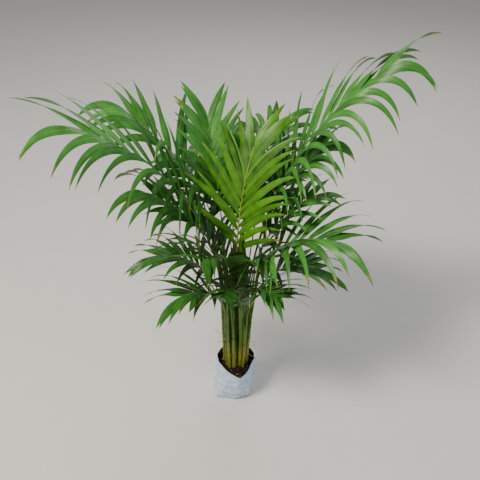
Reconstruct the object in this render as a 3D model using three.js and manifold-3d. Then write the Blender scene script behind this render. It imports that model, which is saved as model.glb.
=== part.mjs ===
// Areca palm in a grow bag: a clump of sheathed canes, each carrying its fronds, rooted in a bag of
// potting mix. Millimetres, +Z up, origin under the middle of the bag on its resting face.
// Bearings are degrees anticlockwise from +X seen from above; lifts are degrees above level.

import * as THREE from "three";
import { mergeGeometries, mergeVertices } from "three/addons/utils/BufferGeometryUtils.js";
import Module from "manifold-3d";

const wasm = await Module();
wasm.setup();

// ---- Driving dimensions ----------------------------------------------------------------------

const BAG_HEIGHT = 138;
const BAG_FOOT_RADIUS = 60;
const BAG_BELLY_RADIUS = 67;
const BAG_MOUTH_RADIUS = 60;
const BAG_WALL = 1.6;
const BELLY_SETTLE = 0.8; // below 1, the belly hangs low
const BAG_LEAN = new THREE.Vector2(8, 0); // how far the mouth stands off the foot
const LEAN_RISE = 1.2; // how late up the wall the lean comes in
const CREASE_BEARINGS = [-80, 100]; // the two lay-flat folds
const CREASE_OUT = [24, 12];
const CREASE_DIP = [20, 8];
const CREASE_REACH = 62; // degrees to each side over which a crease pulls the wall out
const DIP_REACH = 1.3 * CREASE_REACH; // over which it pulls the rim down
const CREASE_RISE = 1.6; // how late up the wall a crease starts to stand out
const FOOT_CORNER_BEARINGS = [-136, -36, 48, 140];
const FOOT_CORNER_OUT = [16, 8, 8, 10];
const FOOT_CORNER_REACH = 30;
const FOOT_CORNER_FADE = 2.5; // how fast up the wall a foot corner fades
const PEAK_SHARPNESS = 1.7; // of creases and foot corners
const AROUND = 36; // wall facets round the bag

const MIX_TOP = 117;
const MIX_TOP_RINGS = [0.75, 0.45]; // shares of the way out from the axis to the wall
const MIX_EDGE_LEVEL = 0.75; // how far up the wall the mix reaches
const MIX_CLEAR = 1.1; // between the mix and the film, whose facets are folded the other way
const BAG_LEVELS = [0, 0.06, 0.2, 0.4, 0.6, MIX_EDGE_LEVEL, 1];
const GAP = 0.3;
const SAME_SPOT = 1e-3; // corners closer than this are one corner

const CANE_DEPTH = 62; // how far a cane goes down into the mix
const CANE_SIDES = 8;
const CANE_SWELL = 0.22; // how much thicker a cane is where it leaves the mix
const CANE_SWELL_HEIGHT = 45;
const CANE_TAPER = 0.12; // how much thinner it is at its top

const STEPS = 24; // integration steps along a frond
const LEAF_STEPS = 12; // integration steps along a leaflet
const PETIOLE_ROWS = 5;
const LEAF_BOW = 1.7; // how late a leaflet starts to arch over
const LEAF_THICKNESS = 1.1;
const LEAF_FOOT_WIDTH = 0.35; // a leaflet's width at its foot, as a share of its widest
const LEAF_WIDEST_AT = 0.3; // how far along it is at its widest
const LEAF_TAPER = 2.6; // how late it narrows to its tip
const SHORTEST_LEAF = 0.68; // of a frond's leaflets, as a share of the length its row gives
const SPREAD_SCATTER = 4; // degrees
const VEE_SCATTER = 6;
const LENGTH_SCATTER = 0.08;
const DROOP_SCATTER = 0.2;
const GUARD = 0.7; // spare room kept round a leaflet when it is placed
const FROND_LIFT = 1.4; // room between a cane's end and the fronds that leave it
const SEAT_RADIUS = 3.6; // how far off the cane's middle a frond stands when it shares the cane
const RACHIS_FOOT_RADIUS = 2.8;
const RACHIS_TIP_RADIUS = 1.1;

// Tried in order until a leaflet stands clear: degrees added to its spread and vee, and its length.
const NUDGES = [
  { spread: 0, vee: 0, length: 1 },
  { spread: 5, vee: 0, length: 1 },
  { spread: -5, vee: 0, length: 1 },
  { spread: 0, vee: 9, length: 1 },
  { spread: 0, vee: -9, length: 1 },
  { spread: 6, vee: 10, length: 0.92 },
  { spread: -6, vee: -10, length: 0.92 },
  { spread: 10, vee: -8, length: 0.85 },
  { spread: -9, vee: 14, length: 0.85 },
  { spread: 0, vee: 20, length: 0.8 },
  { spread: 4, vee: -20, length: 0.75 },
  { spread: 0, vee: 0, length: 0.62 },
];

// x, y: where the cane leaves the mix. lean: degrees off upright, towards bearing. top: height.
const CANES = [
  { x: -18, y: -8, lean: 1.5, bearing: 195, top: 330, radius: 6.2 },
  { x: 2, y: -19, lean: 1.5, bearing: 250, top: 350, radius: 6.5 },
  { x: 21, y: -13, lean: 3, bearing: 320, top: 345, radius: 6 },
  { x: 41, y: 0, lean: 4, bearing: 350, top: 335, radius: 6.4 },
  { x: 5, y: 4, lean: 1, bearing: 300, top: 390, radius: 6.6 },
  { x: -27, y: 15, lean: 1.5, bearing: 165, top: 345, radius: 6 },
  { x: 6, y: 31, lean: 3, bearing: 95, top: 380, radius: 6.3 },
  { x: 27, y: 20, lean: 4, bearing: 30, top: 395, radius: 6.4 },
  { x: -13, y: 33, lean: 3, bearing: 130, top: 410, radius: 6 },
  { x: -10.5, y: 10, lean: 1, bearing: 300, top: 350, radius: 4.2 },
  { x: 28.5, y: 4.5, lean: 4, bearing: 350, top: 340, radius: 3.3 },
  { x: -12, y: -23, lean: 3, bearing: 230, top: 335, radius: 4.2 },
  { x: 32, y: -20, lean: 4, bearing: 325, top: 330, radius: 4 },
];

const COMMON = {
  seat: null, bow: 1.5, bare: 0.5, pairs: 11, leaf: 230, width: 22, droop: [1.2, 1.2], vee: 22,
  open: 58, close: 24, rows: 3, tone: "mature",
};

// lift to tip: the rachis's slope at its foot and at its end. bow: how late it bends.
const FRONDS = [
  { name: "left_long", cane: 0, seat: 90, bearing: 190, lift: 85, tip: 24, bow: 1.6, length: 760,
    bare: 0.46, pairs: 10, leaf: 300, droop: [0.7, 1.8], open: 46, close: 20, rows: 4, width: 24 },
  { name: "left_tall", cane: 8, seat: 190, bearing: 164, lift: 80, tip: 34, bow: 1.8, length: 600,
    bare: 0.44, leaf: 235, vee: 26, droop: [0.9, 1.5], width: 25 },
  { name: "back_fan", cane: 8, seat: 330, bearing: 108, lift: 80, tip: 56, length: 510, leaf: 170,
    droop: [0.4, 0.4] },
  { name: "young_front", cane: 4, bearing: 62, lift: 88, tip: 52, bow: 2, length: 480, bare: 0.34,
    pairs: 13, leaf: 222, width: 24, open: 50, vee: 16, droop: [0.6, 0.4], tone: "young", close: 22 },
  { name: "right_long", cane: 7, seat: 260, bearing: 6, lift: 81, tip: 34, bow: 1.6, length: 790,
    bare: 0.44, pairs: 13, leaf: 268, droop: [1.9, 1], open: 42, close: 14, rows: 4 },
  { name: "right_second", cane: 7, seat: 20, bearing: 12, lift: 82, tip: 40, bow: 1.6, length: 520,
    bare: 0.5, leaf: 190, droop: [1.8, 1.4] },
  { name: "right_low", cane: 3, seat: 300, bearing: -14, lift: 86, tip: -6, bow: 1.8, length: 420,
    bare: 0.5, pairs: 8, leaf: 250, width: 25, droop: [1.9, 1], open: 62, close: 26, rows: 4 },
  { name: "left_mid", cane: 5, seat: 10, bearing: 186, lift: 87, tip: 30, bow: 1.6, length: 460,
    bare: 0.42, leaf: 240, droop: [1.6, 1.6], pairs: 9, width: 25 },
  { name: "left_low", cane: 0, seat: 250, bearing: 212, lift: 82, tip: -5, bow: 1.2, length: 210,
    bare: 0.3, pairs: 8, leaf: 180, droop: [1, 1] },
  { name: "front_right_low", cane: 2, seat: 340, bearing: -50, lift: 82, tip: 5, bow: 1.4,
    length: 200, bare: 0.35, pairs: 8, leaf: 165, droop: [0.9, 0.9] },
  { name: "front_low", cane: 1, seat: 262, bearing: 262, lift: 82, tip: 10, length: 220, bare: 0.35,
    pairs: 8, leaf: 145, droop: [1, 1] },
  { name: "left_under", cane: 5, seat: 186, bearing: 178, lift: 82, tip: -10, length: 280, bare: 0.35,
    pairs: 9, leaf: 175 },
  { name: "right_under", cane: 3, seat: 60, bearing: 4, lift: 82, tip: -20, length: 270, bare: 0.35,
    pairs: 9, leaf: 185 },
  { name: "front_mid", cane: 1, seat: 80, bearing: 235, lift: 87, tip: 20, bow: 1.8, length: 320,
    bare: 0.4, pairs: 9, leaf: 210 },
  { name: "front_right_mid", cane: 2, seat: 200, bearing: 305, lift: 87, tip: 20, bow: 1.8,
    length: 320, bare: 0.4, pairs: 9, leaf: 220 },
  { name: "back_right", cane: 6, seat: 0, bearing: 55, lift: 84, tip: 34, length: 540, leaf: 185 },
  { name: "back_left_low", cane: 8, seat: 100, bearing: 118, lift: 74, tip: 0, length: 440, bare: 0.4,
    leaf: 190 },
  { name: "back_right_low", cane: 7, seat: 130, bearing: 72, lift: 74, tip: 0, length: 440, bare: 0.4,
    leaf: 190 },
  { name: "back_mid", cane: 6, seat: 130, bearing: 92, lift: 80, tip: 12, length: 520, bare: 0.42,
    leaf: 200 },
  { name: "left_inner", cane: 9, bearing: 170, lift: 86, tip: 40, bow: 1.6, length: 330, bare: 0.35,
    pairs: 9, leaf: 190 },
  { name: "right_inner", cane: 10, bearing: 18, lift: 84, tip: 20, bow: 2, length: 430, bare: 0.45,
    pairs: 8, leaf: 170, droop: [1, 1] },
  { name: "front_left_small", cane: 11, bearing: 225, lift: 80, tip: 10, length: 190, bare: 0.3,
    pairs: 7, leaf: 130, droop: [0.8, 0.8] },
  { name: "front_right_small", cane: 12, bearing: 320, lift: 80, tip: 10, length: 190, bare: 0.3,
    pairs: 7, leaf: 130, droop: [0.8, 0.8] },
];

const COLOURS = {
  bag: 0xa9c1dc, mix: 0x2f211a, cane: 0x8a9a3c, mature: 0x2f6b26, young: 0x79b52c,
};

// ---- Small helpers ---------------------------------------------------------------------------

const rad = THREE.MathUtils.degToRad;
const lerp = THREE.MathUtils.lerp;
const UP = new THREE.Vector3(0, 0, 1);
const heading = (degrees) => new THREE.Vector3(Math.cos(rad(degrees)), Math.sin(rad(degrees)), 0);

// A fixed scatter between -1 and 1 for each whole number.
function scatter(k) {
  const value = Math.sin(k * 12.9898 + 78.233) * 43758.5453;
  return 2 * (value - Math.floor(value)) - 1;
}

// Merges a closed primitive's seams and moves every vertex to where place(x, y, z) says.
function reshaped(geometry, place) {
  geometry.deleteAttribute("normal");
  geometry.deleteAttribute("uv");
  const merged = mergeVertices(geometry, SAME_SPOT * 0.1);
  const corners = Array.from(merged.index.array);
  const kept = [];
  for (let i = 0; i < corners.length; i += 3) {
    const face = corners.slice(i, i + 3);
    if (new Set(face).size === 3) kept.push(...face);
  }
  merged.setIndex(kept);
  const spots = merged.attributes.position;
  for (let i = 0; i < spots.count; i++) {
    const spot = place(spots.getX(i), spots.getY(i), spots.getZ(i));
    spots.setXYZ(i, spot.x, spot.y, spot.z);
  }
  return merged;
}

function solid(geometry) {
  const vertProperties = new Float32Array(geometry.attributes.position.array);
  const triVerts = new Uint32Array(geometry.index.array);
  return new wasm.Manifold(new wasm.Mesh({ numProp: 3, vertProperties, triVerts }));
}

function geometryOf(manifold) {
  const { vertProperties, triVerts } = manifold.getMesh();
  const geometry = new THREE.BufferGeometry();
  geometry.setAttribute("position", new THREE.BufferAttribute(vertProperties, 3));
  geometry.setIndex(new THREE.BufferAttribute(triVerts, 1));
  return geometry;
}

function named(name, geometry, colour, roughness) {
  geometry.computeVertexNormals();
  const material = new THREE.MeshStandardMaterial({ color: colour, roughness, metalness: 0 });
  const mesh = new THREE.Mesh(geometry, material);
  mesh.name = name;
  return mesh;
}

// ---- Bag and mix -----------------------------------------------------------------------------

// 1 at a bearing, falling to 0 in a sharp peak over reach degrees to each side.
function peak(bearing, centre, reach) {
  const away = Math.abs(((bearing - centre + 540) % 360) - 180);
  return Math.max(0, 1 - away / reach) ** PEAK_SHARPNESS;
}

function rimHeight(bearing) {
  const dips = CREASE_BEARINGS.map((at, i) => CREASE_DIP[i] * peak(bearing, at, DIP_REACH));
  return BAG_HEIGHT - dips[0] - dips[1];
}

// Where the outside of the film stands at a bearing, level 0 at the foot and 1 at the rim.
function wallRadius(bearing, level) {
  const belly = Math.sin(Math.PI * level ** BELLY_SETTLE);
  let radius = lerp(BAG_FOOT_RADIUS, BAG_MOUTH_RADIUS, level);
  radius += (BAG_BELLY_RADIUS - BAG_FOOT_RADIUS) * belly;
  CREASE_BEARINGS.forEach((at, i) => {
    radius += CREASE_OUT[i] * level ** CREASE_RISE * peak(bearing, at, CREASE_REACH);
  });
  FOOT_CORNER_BEARINGS.forEach((at, i) => {
    const fade = (1 - level) ** FOOT_CORNER_FADE;
    radius += FOOT_CORNER_OUT[i] * fade * peak(bearing, at, FOOT_CORNER_REACH);
  });
  return radius;
}

function bagSpot(bearing, level, height, inset) {
  const radius = wallRadius(bearing, level) - inset;
  const lean = level ** LEAN_RISE;
  const out = heading(bearing).multiplyScalar(radius);
  return new THREE.Vector3(out.x + BAG_LEAN.x * lean, out.y + BAG_LEAN.y * lean, height);
}

// A lathe about the bag's axis. Its profile gives each point's own x and y to place with a bearing.
function turned(profile, place) {
  const lathe = new THREE.LatheGeometry(profile.map(([x, y]) => new THREE.Vector2(x, y)), AROUND);
  return reshaped(lathe, (x, y, z) => {
    const bearing = THREE.MathUtils.radToDeg(Math.atan2(-z, x));
    return place(bearing, Math.hypot(x, z), y);
  });
}

// Profile x is 2 on the outer face of the film, 1 on the inner face and 0 on the axis.
function bagGeometry() {
  const outer = BAG_LEVELS.map((level) => [2, level]);
  const inner = BAG_LEVELS.map((level) => [1, level]).reverse();
  const inFloor = -1; // marks the middle of the floor's inner face
  return turned([[0, 0], ...outer, ...inner, [0, inFloor]], (bearing, face, level) => {
    if (face < 0.5) return new THREE.Vector3(0, 0, level < 0 ? BAG_WALL : 0);
    if (face > 1.5) return bagSpot(bearing, level, level * rimHeight(bearing), 0);
    return bagSpot(bearing, level, Math.max(BAG_WALL, level * rimHeight(bearing)), BAG_WALL);
  });
}

// Profile x is 1 at the wall and less towards the axis, and y the level of that point of the side.
function mixGeometry() {
  const sides = BAG_LEVELS.filter((level) => level <= MIX_EDGE_LEVEL).map((level) => [1, level]);
  const top = MIX_TOP_RINGS.map((out) => [out, MIX_EDGE_LEVEL]);
  const crown = 2; // marks the profile's last point
  return turned([[0, 0], ...sides, ...top, [0, crown]], (bearing, out, level) => {
    if (out < 0.01) return new THREE.Vector3(0, 0, level === crown ? MIX_TOP : BAG_WALL + GAP);
    const edge = level * rimHeight(bearing);
    const side = bagSpot(bearing, level, Math.max(BAG_WALL + GAP, edge), BAG_WALL + MIX_CLEAR);
    if (out > 0.99) return side;
    const height = lerp(MIX_TOP, edge, out ** 2);
    return new THREE.Vector3(0, 0, height).lerp(side.setZ(height), out).setZ(height);
  });
}

// ---- Canes -----------------------------------------------------------------------------------

function caneCentre(cane, height) {
  const rise = height - MIX_TOP;
  const out = heading(cane.bearing).multiplyScalar(Math.tan(rad(cane.lean)) * rise);
  return new THREE.Vector3(cane.x + out.x, cane.y + out.y, height);
}

function caneRadius(cane, height) {
  const swell = CANE_SWELL * Math.exp(-Math.max(0, height - MIX_TOP) / CANE_SWELL_HEIGHT);
  const taper = CANE_TAPER * Math.max(0, height - MIX_TOP) / (cane.top - MIX_TOP);
  return cane.radius * (1 + swell - taper);
}

function caneGeometry(cane, spare) {
  const foot = MIX_TOP - CANE_DEPTH - spare;
  const head = cane.top + spare;
  return reshaped(new THREE.CylinderGeometry(1, 1, 1, CANE_SIDES, 5), (x, y, z) => {
    const height = lerp(foot, head, y + 0.5);
    const radius = caneRadius(cane, height) + spare;
    return caneCentre(cane, height).add(new THREE.Vector3(x * radius, -z * radius, 0));
  });
}

// ---- Fronds ----------------------------------------------------------------------------------

// The rachis bends in its own upright plane; its frame is forward, side (right) and normal (up).
function rachisOf(frond) {
  const flat = heading(frond.bearing);
  const side = new THREE.Vector3().crossVectors(flat, UP);
  const frame = (t) => {
    const lift = rad(lerp(frond.lift, frond.tip, t ** frond.bow));
    const forward = flat.clone().multiplyScalar(Math.cos(lift)).addScaledVector(UP, Math.sin(lift));
    return { forward, side, normal: new THREE.Vector3().crossVectors(side, forward) };
  };
  const cane = CANES[frond.cane];
  const start = caneCentre(cane, cane.top + FROND_LIFT);
  if (frond.seat !== null) start.addScaledVector(heading(frond.seat), SEAT_RADIUS);
  const spots = [start];
  for (let i = 0; i < STEPS; i++) {
    const step = frame((i + 0.5) / STEPS).forward.multiplyScalar(frond.length / STEPS);
    spots.push(spots[i].clone().add(step));
  }
  const at = (t) => {
    const i = Math.min(STEPS - 1, Math.floor(t * STEPS));
    return spots[i].clone().lerp(spots[i + 1], t * STEPS - i);
  };
  return { at, frame };
}

// The stalk is three-sided: a ridge on top and two lower edges. Its rows are the petiole's, then one
// for each leaflet, so that every leaflet has a face of the stalk to itself.
// Its corners are numbered by hand: 0 for the ridge, 1 for the lower right edge, -1 for the left.
function stalkSpot(frond, row, corner) {
  const along = Math.max(0, row - PETIOLE_ROWS) / (2 * frond.pairs);
  const t = row < PETIOLE_ROWS ? (frond.bare * row) / PETIOLE_ROWS : lerp(frond.bare, 1, along);
  const { side, normal } = frond.rachis.frame(t);
  const radius = lerp(RACHIS_FOOT_RADIUS, RACHIS_TIP_RADIUS, t);
  const [across, up] = corner === 0 ? [0, 1] : [corner * Math.sin(Math.PI / 3), -0.5];
  const spot = frond.rachis.at(t).addScaledVector(side, across * radius);
  return spot.addScaledVector(normal, up * radius);
}

function stalkGeometry(frond) {
  const rows = PETIOLE_ROWS + 2 * frond.pairs;
  return reshaped(new THREE.CylinderGeometry(1, 1, 1, 3, rows), (x, y, z) => {
    const row = Math.round((y + 0.5) * rows);
    const inCap = Math.hypot(x, z) < 0.5;
    return inCap ? frond.rachis.at(row / rows) : stalkSpot(frond, row, Math.round(x));
  });
}

// Leaflet number k counts from the foot of the blade to the tip, right and left in turn.
function leafletOf(frond, k, nudge) {
  const hand = k % 2 === 0 ? 1 : -1;
  const along = (k + 0.5) / (2 * frond.pairs);
  const t = lerp(frond.bare, 1, along);
  const { forward, side, normal } = frond.rachis.frame(t);
  const seed = frond.seed * 100 + k * 4;
  const spread = rad(lerp(frond.open, frond.close, along) + SPREAD_SCATTER * scatter(seed) + nudge.spread);
  const vee = rad(frond.vee + VEE_SCATTER * scatter(seed + 1) + nudge.vee);
  const start = forward.clone().multiplyScalar(Math.cos(spread));
  start.addScaledVector(side, Math.sin(spread) * Math.cos(vee) * hand);
  start.addScaledVector(normal, Math.sin(spread) * Math.sin(vee));
  const swell = lerp(SHORTEST_LEAF, 1, Math.sin(Math.PI * lerp(0.15, 0.9, along)));
  const length = frond.leaf * swell * (1 + LENGTH_SCATTER * scatter(seed + 2)) * nudge.length;
  const droop = frond.droop[hand > 0 ? 0 : 1] * (1 + DROOP_SCATTER * scatter(seed + 3));
  const direction = (s) => start.clone().addScaledVector(UP, -droop * s ** LEAF_BOW).normalize();
  const spots = [frond.rachis.at(t)];
  for (let i = 0; i < LEAF_STEPS; i++) {
    const step = direction((i + 0.5) / LEAF_STEPS).multiplyScalar(length / LEAF_STEPS);
    spots.push(spots[i].clone().add(step));
  }
  const width = frond.width * lerp(0.8, 1.15, along);
  return { k, hand, forward, direction, spots, width };
}

// Half the blade's width at s, as a share of its widest: long sides and a drawn-out tip.
function bladeShape(s) {
  const opened = Math.sin((Math.PI / 2) * Math.min(1, s / LEAF_WIDEST_AT));
  return lerp(LEAF_FOOT_WIDTH, 1, opened) * (1 - s ** LEAF_TAPER);
}

// A leaflet is a flat open-footed cone of four sides. Its foot takes the four corners of its face of
// the stalk, so the two join without a seam.
function leafletGeometry(frond, leaflet, spare) {
  const { k, hand } = leaflet;
  const cone = new THREE.ConeGeometry(1, 1, 4, frond.rows, true, Math.PI / 4);
  const blade = reshaped(cone, (x, y, z) => {
    const s = y + 0.5;
    if (s > 0.999) return leaflet.spots[LEAF_STEPS].clone();
    if (s < 0.001) {
      const row = PETIOLE_ROWS + k + (x > 0 === hand > 0 ? 0 : 1);
      return stalkSpot(frond, row, z > 0 ? 0 : hand);
    }
    const forward = leaflet.direction(s);
    const across = leaflet.forward.clone().addScaledVector(forward, -leaflet.forward.dot(forward));
    across.normalize().multiplyScalar(-hand);
    const normal = new THREE.Vector3().crossVectors(across, forward);
    const half = 0.5 * leaflet.width * bladeShape(s) + spare;
    const spot = leaflet.spots[Math.round(s * LEAF_STEPS)].clone();
    spot.addScaledVector(across, Math.sign(x) * half);
    return spot.addScaledVector(normal, Math.sign(z) * (0.5 * LEAF_THICKNESS + spare));
  });
  foldAlike(blade.index.array, frond.rows);
  return blade;
}

// The cone's sides start at its right edge. Each has a tip triangle, then two triangles a row. The
// underside's are split along the other diagonal, so that both faces of the blade fold alike and a
// slanting blade never cuts through itself.
function foldAlike(corners, rows) {
  const underside = 1;
  const perSide = 2 * rows - 1;
  for (let row = 0; row < rows - 1; row++) {
    const at = 3 * (perSide * underside + 1 + 2 * row);
    const [a, b, d, , c] = corners.slice(at, at + 5);
    corners.set([a, b, c, a, c, d], at);
  }
}

// The stalk gives up the two triangles of each leaflet's face and takes the leaflet in their place.
function frondGeometry(frond, leaflets) {
  const feet = leaflets.map(({ k, hand }) => [0, 1].flatMap((end) => {
    const row = PETIOLE_ROWS + k + end;
    return [stalkSpot(frond, row, 0), stalkSpot(frond, row, hand)];
  }));
  const isFoot = ({ points }) => feet.some((foot) =>
    points.every((point) => foot.some((spot) => spot.distanceTo(point) < SAME_SPOT)));
  const corners = Array.from(frond.stalk.index.array);
  const kept = trianglesOf(frond.stalk, null).flatMap((triangle, i) =>
    (isFoot(triangle) ? [] : corners.slice(3 * i, 3 * i + 3)));
  const stalk = frond.stalk.clone().setIndex(kept);
  const blades = leaflets.map((leaflet) => leafletGeometry(frond, leaflet, 0));
  return mergeVertices(mergeGeometries([...blades, stalk]), SAME_SPOT);
}

// ---- Keeping leaflets clear of what already stands -------------------------------------------

const standing = [];

function trianglesOf(geometry, owner) {
  const spots = geometry.attributes.position;
  const corners = geometry.index.array;
  const triangles = [];
  for (let i = 0; i < corners.length; i += 3) {
    const points = [0, 1, 2].map((j) => new THREE.Vector3().fromBufferAttribute(spots, corners[i + j]));
    triangles.push({ points, owner, box: new THREE.Box3().setFromPoints(points) });
  }
  return triangles;
}

const ray = new THREE.Ray();
const hit = new THREE.Vector3();

// Corners that only touch, as where two leaflets share a point of their stalk, don't count.
function edgeCrosses(from, to, triangle) {
  const touch = 1e-4;
  ray.origin.copy(from);
  ray.direction.subVectors(to, from);
  const length = ray.direction.length();
  ray.direction.divideScalar(length);
  if (ray.intersectTriangle(...triangle.points, false, hit) === null) return false;
  const reach = hit.distanceTo(from);
  return reach > touch && reach < length - touch;
}

function cross(a, b) {
  if (!a.box.intersectsBox(b.box)) return false;
  return [0, 1, 2].some((i) => {
    const j = (i + 1) % 3;
    return edgeCrosses(a.points[i], a.points[j], b) || edgeCrosses(b.points[i], b.points[j], a);
  });
}

function isClear(geometry, matters) {
  const box = new THREE.Box3().setFromBufferAttribute(geometry.attributes.position);
  const near = standing.filter((other) => matters(other.owner) && other.box.intersectsBox(box));
  const mine = trianglesOf(geometry, null);
  return !near.some((other) => mine.some((triangle) => cross(triangle, other)));
}

// A leaflet that would touch something is turned, raised or shortened until it is clear, with room
// to spare from everything but its own frond. One that never clears is left off.
function placedLeaflet(frond, k) {
  for (const nudge of NUDGES) {
    const leaflet = leafletOf(frond, k, nudge);
    const blade = leafletGeometry(frond, leaflet, 0);
    if (!isClear(blade, () => true)) continue;
    const guarded = leafletGeometry(frond, leaflet, GUARD);
    if (isClear(guarded, (owner) => owner !== frond.name)) return leaflet;
  }
  return null;
}

// ---- The assembly ----------------------------------------------------------------------------

const palm = new THREE.Group();
palm.name = "potted_palm";

const caneSolids = CANES.map((cane) => caneGeometry(cane, 0));
const canesInMix = CANES.map((cane) => solid(caneGeometry(cane, GAP)));
const mix = canesInMix.reduce((body, cane) => body.subtract(cane), solid(mixGeometry()));
const bag = bagGeometry();
palm.add(named("grow_bag", bag, COLOURS.bag, 0.5));
palm.add(named("potting_mix", geometryOf(mix), COLOURS.mix, 0.95));
CANES.forEach((cane, i) => palm.add(named(`cane_${i + 1}`, caneSolids[i], COLOURS.cane, 0.5)));
[bag, ...caneSolids].forEach((geometry) => standing.push(...trianglesOf(geometry, "foot")));

const fronds = FRONDS.map((row, i) => ({ ...COMMON, ...row, seed: i + 1 }));
fronds.forEach((frond) => {
  frond.rachis = rachisOf(frond);
  frond.stalk = stalkGeometry(frond);
  standing.push(...trianglesOf(frond.stalk, frond.name));
});
fronds.forEach((frond) => {
  const leaflets = [];
  for (let k = 0; k < 2 * frond.pairs; k++) {
    const leaflet = placedLeaflet(frond, k);
    if (leaflet === null) continue;
    standing.push(...trianglesOf(leafletGeometry(frond, leaflet, 0), frond.name));
    leaflets.push(leaflet);
  }
  palm.add(named(`frond_${frond.name}`, frondGeometry(frond, leaflets), COLOURS[frond.tone], 0.45));
});

export default palm;
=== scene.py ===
"""Areca palm in a grow bag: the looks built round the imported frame, one piece for each frame node."""

import math
import random

import bmesh
import bpy
import numpy as np
from bpy.props import FloatProperty, FloatVectorProperty, IntProperty, PointerProperty
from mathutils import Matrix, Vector, noise
from mathutils.kdtree import KDTree


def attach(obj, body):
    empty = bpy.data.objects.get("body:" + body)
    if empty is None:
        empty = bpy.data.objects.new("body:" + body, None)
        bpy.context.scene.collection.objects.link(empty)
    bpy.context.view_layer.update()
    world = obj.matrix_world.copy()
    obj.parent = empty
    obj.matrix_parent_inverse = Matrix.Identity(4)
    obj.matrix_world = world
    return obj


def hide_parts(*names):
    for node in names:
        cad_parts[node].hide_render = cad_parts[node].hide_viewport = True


bl_info = {
    "name": "Areca palm in a grow bag",
    "version": (1, 0, 0),
    "blender": (4, 5, 0),
    "location": "3D View > Sidebar > Palm",
    "description": "Builds a clump of areca palm with its canes, fronds, potting mix and film bag",
    "category": "Add Mesh",
}

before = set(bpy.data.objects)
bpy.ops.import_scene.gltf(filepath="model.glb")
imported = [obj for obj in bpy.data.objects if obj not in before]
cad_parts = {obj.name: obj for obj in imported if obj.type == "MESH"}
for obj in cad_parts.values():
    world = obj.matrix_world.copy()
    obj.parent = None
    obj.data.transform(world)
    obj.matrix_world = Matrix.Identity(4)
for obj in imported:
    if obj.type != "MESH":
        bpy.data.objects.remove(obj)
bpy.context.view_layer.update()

BODY = "root"
MM = 0.001

# ---- The frame's own driving dimensions, in millimetres and degrees -------------------------------
# Bearings are degrees anticlockwise from +X seen from above; lifts are degrees above level.

BAG_HEIGHT = 138
BAG_FOOT_RADIUS = 60
BAG_BELLY_RADIUS = 67
BAG_MOUTH_RADIUS = 60
BELLY_SETTLE = 0.8  # below 1, the belly hangs low
BAG_LEAN = (8, 0)  # how far the mouth stands off the foot
LEAN_RISE = 1.2  # how late up the wall the lean comes in
CREASES = [(-80, 24, 20), (100, 12, 8)]  # bearing, how far out, how far the rim dips
CREASE_REACH = 62  # degrees to each side over which a crease pulls the wall out
DIP_REACH = 1.3 * CREASE_REACH  # over which it pulls the rim down
CREASE_RISE = 1.6  # how late up the wall a crease starts to stand out
FOOT_CORNERS = [(-136, 16), (-36, 8), (48, 8), (140, 10)]  # bearing, how far out
FOOT_CORNER_REACH = 30
FOOT_CORNER_FADE = 2.5  # how fast up the wall a foot corner fades
PEAK_SHARPNESS = 1.7  # of creases and foot corners
MIX_TOP = 117
MIX_EDGE_LEVEL = 0.75  # how far up the wall the mix reaches

CANE_SWELL = 0.22  # how much thicker a cane is where it leaves the mix
CANE_SWELL_HEIGHT = 45
CANE_TAPER = 0.12  # how much thinner it is at its top

STEPS = 24  # integration steps along a frond
LEAF_STEPS = 12  # integration steps along a leaflet
LEAF_BOW = 1.7  # how late a leaflet starts to arch over
SHORTEST_LEAF = 0.68  # of a frond's leaflets, as a share of the length its row gives
SPREAD_SCATTER = 4  # degrees
VEE_SCATTER = 6
LENGTH_SCATTER = 0.08
DROOP_SCATTER = 0.2
FROND_LIFT = 1.4  # room between a cane's end and the fronds that leave it
SEAT_RADIUS = 3.6  # how far off the cane's middle a frond stands when it shares the cane
RACHIS_FOOT_RADIUS = 2.8
RACHIS_TIP_RADIUS = 1.1

# Degrees added to a leaflet's spread and vee, and its length: the frame uses one of these for each.
NUDGES = [
    (0, 0, 1), (5, 0, 1), (-5, 0, 1), (0, 9, 1), (0, -9, 1), (6, 10, 0.92), (-6, -10, 0.92),
    (10, -8, 0.85), (-9, 14, 0.85), (0, 20, 0.8), (4, -20, 0.75), (0, 0, 0.62),
]

# x, y: where the cane leaves the mix. lean: degrees off upright, towards bearing. top: height.
CANES = [
    dict(x=-18, y=-8, lean=1.5, bearing=195, top=330, radius=6.2),
    dict(x=2, y=-19, lean=1.5, bearing=250, top=350, radius=6.5),
    dict(x=21, y=-13, lean=3, bearing=320, top=345, radius=6),
    dict(x=41, y=0, lean=4, bearing=350, top=335, radius=6.4),
    dict(x=5, y=4, lean=1, bearing=300, top=390, radius=6.6),
    dict(x=-27, y=15, lean=1.5, bearing=165, top=345, radius=6),
    dict(x=6, y=31, lean=3, bearing=95, top=380, radius=6.3),
    dict(x=27, y=20, lean=4, bearing=30, top=395, radius=6.4),
    dict(x=-13, y=33, lean=3, bearing=130, top=410, radius=6),
    dict(x=-10.5, y=10, lean=1, bearing=300, top=350, radius=4.2),
    dict(x=28.5, y=4.5, lean=4, bearing=350, top=340, radius=3.3),
    dict(x=-12, y=-23, lean=3, bearing=230, top=335, radius=4.2),
    dict(x=32, y=-20, lean=4, bearing=325, top=330, radius=4),
]

COMMON = dict(
    seat=None, bow=1.5, bare=0.5, pairs=11, leaf=230, width=22, droop=(1.2, 1.2), vee=22, open=58,
    close=24, tone="mature", painted_light_and_shade=0,
)
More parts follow.
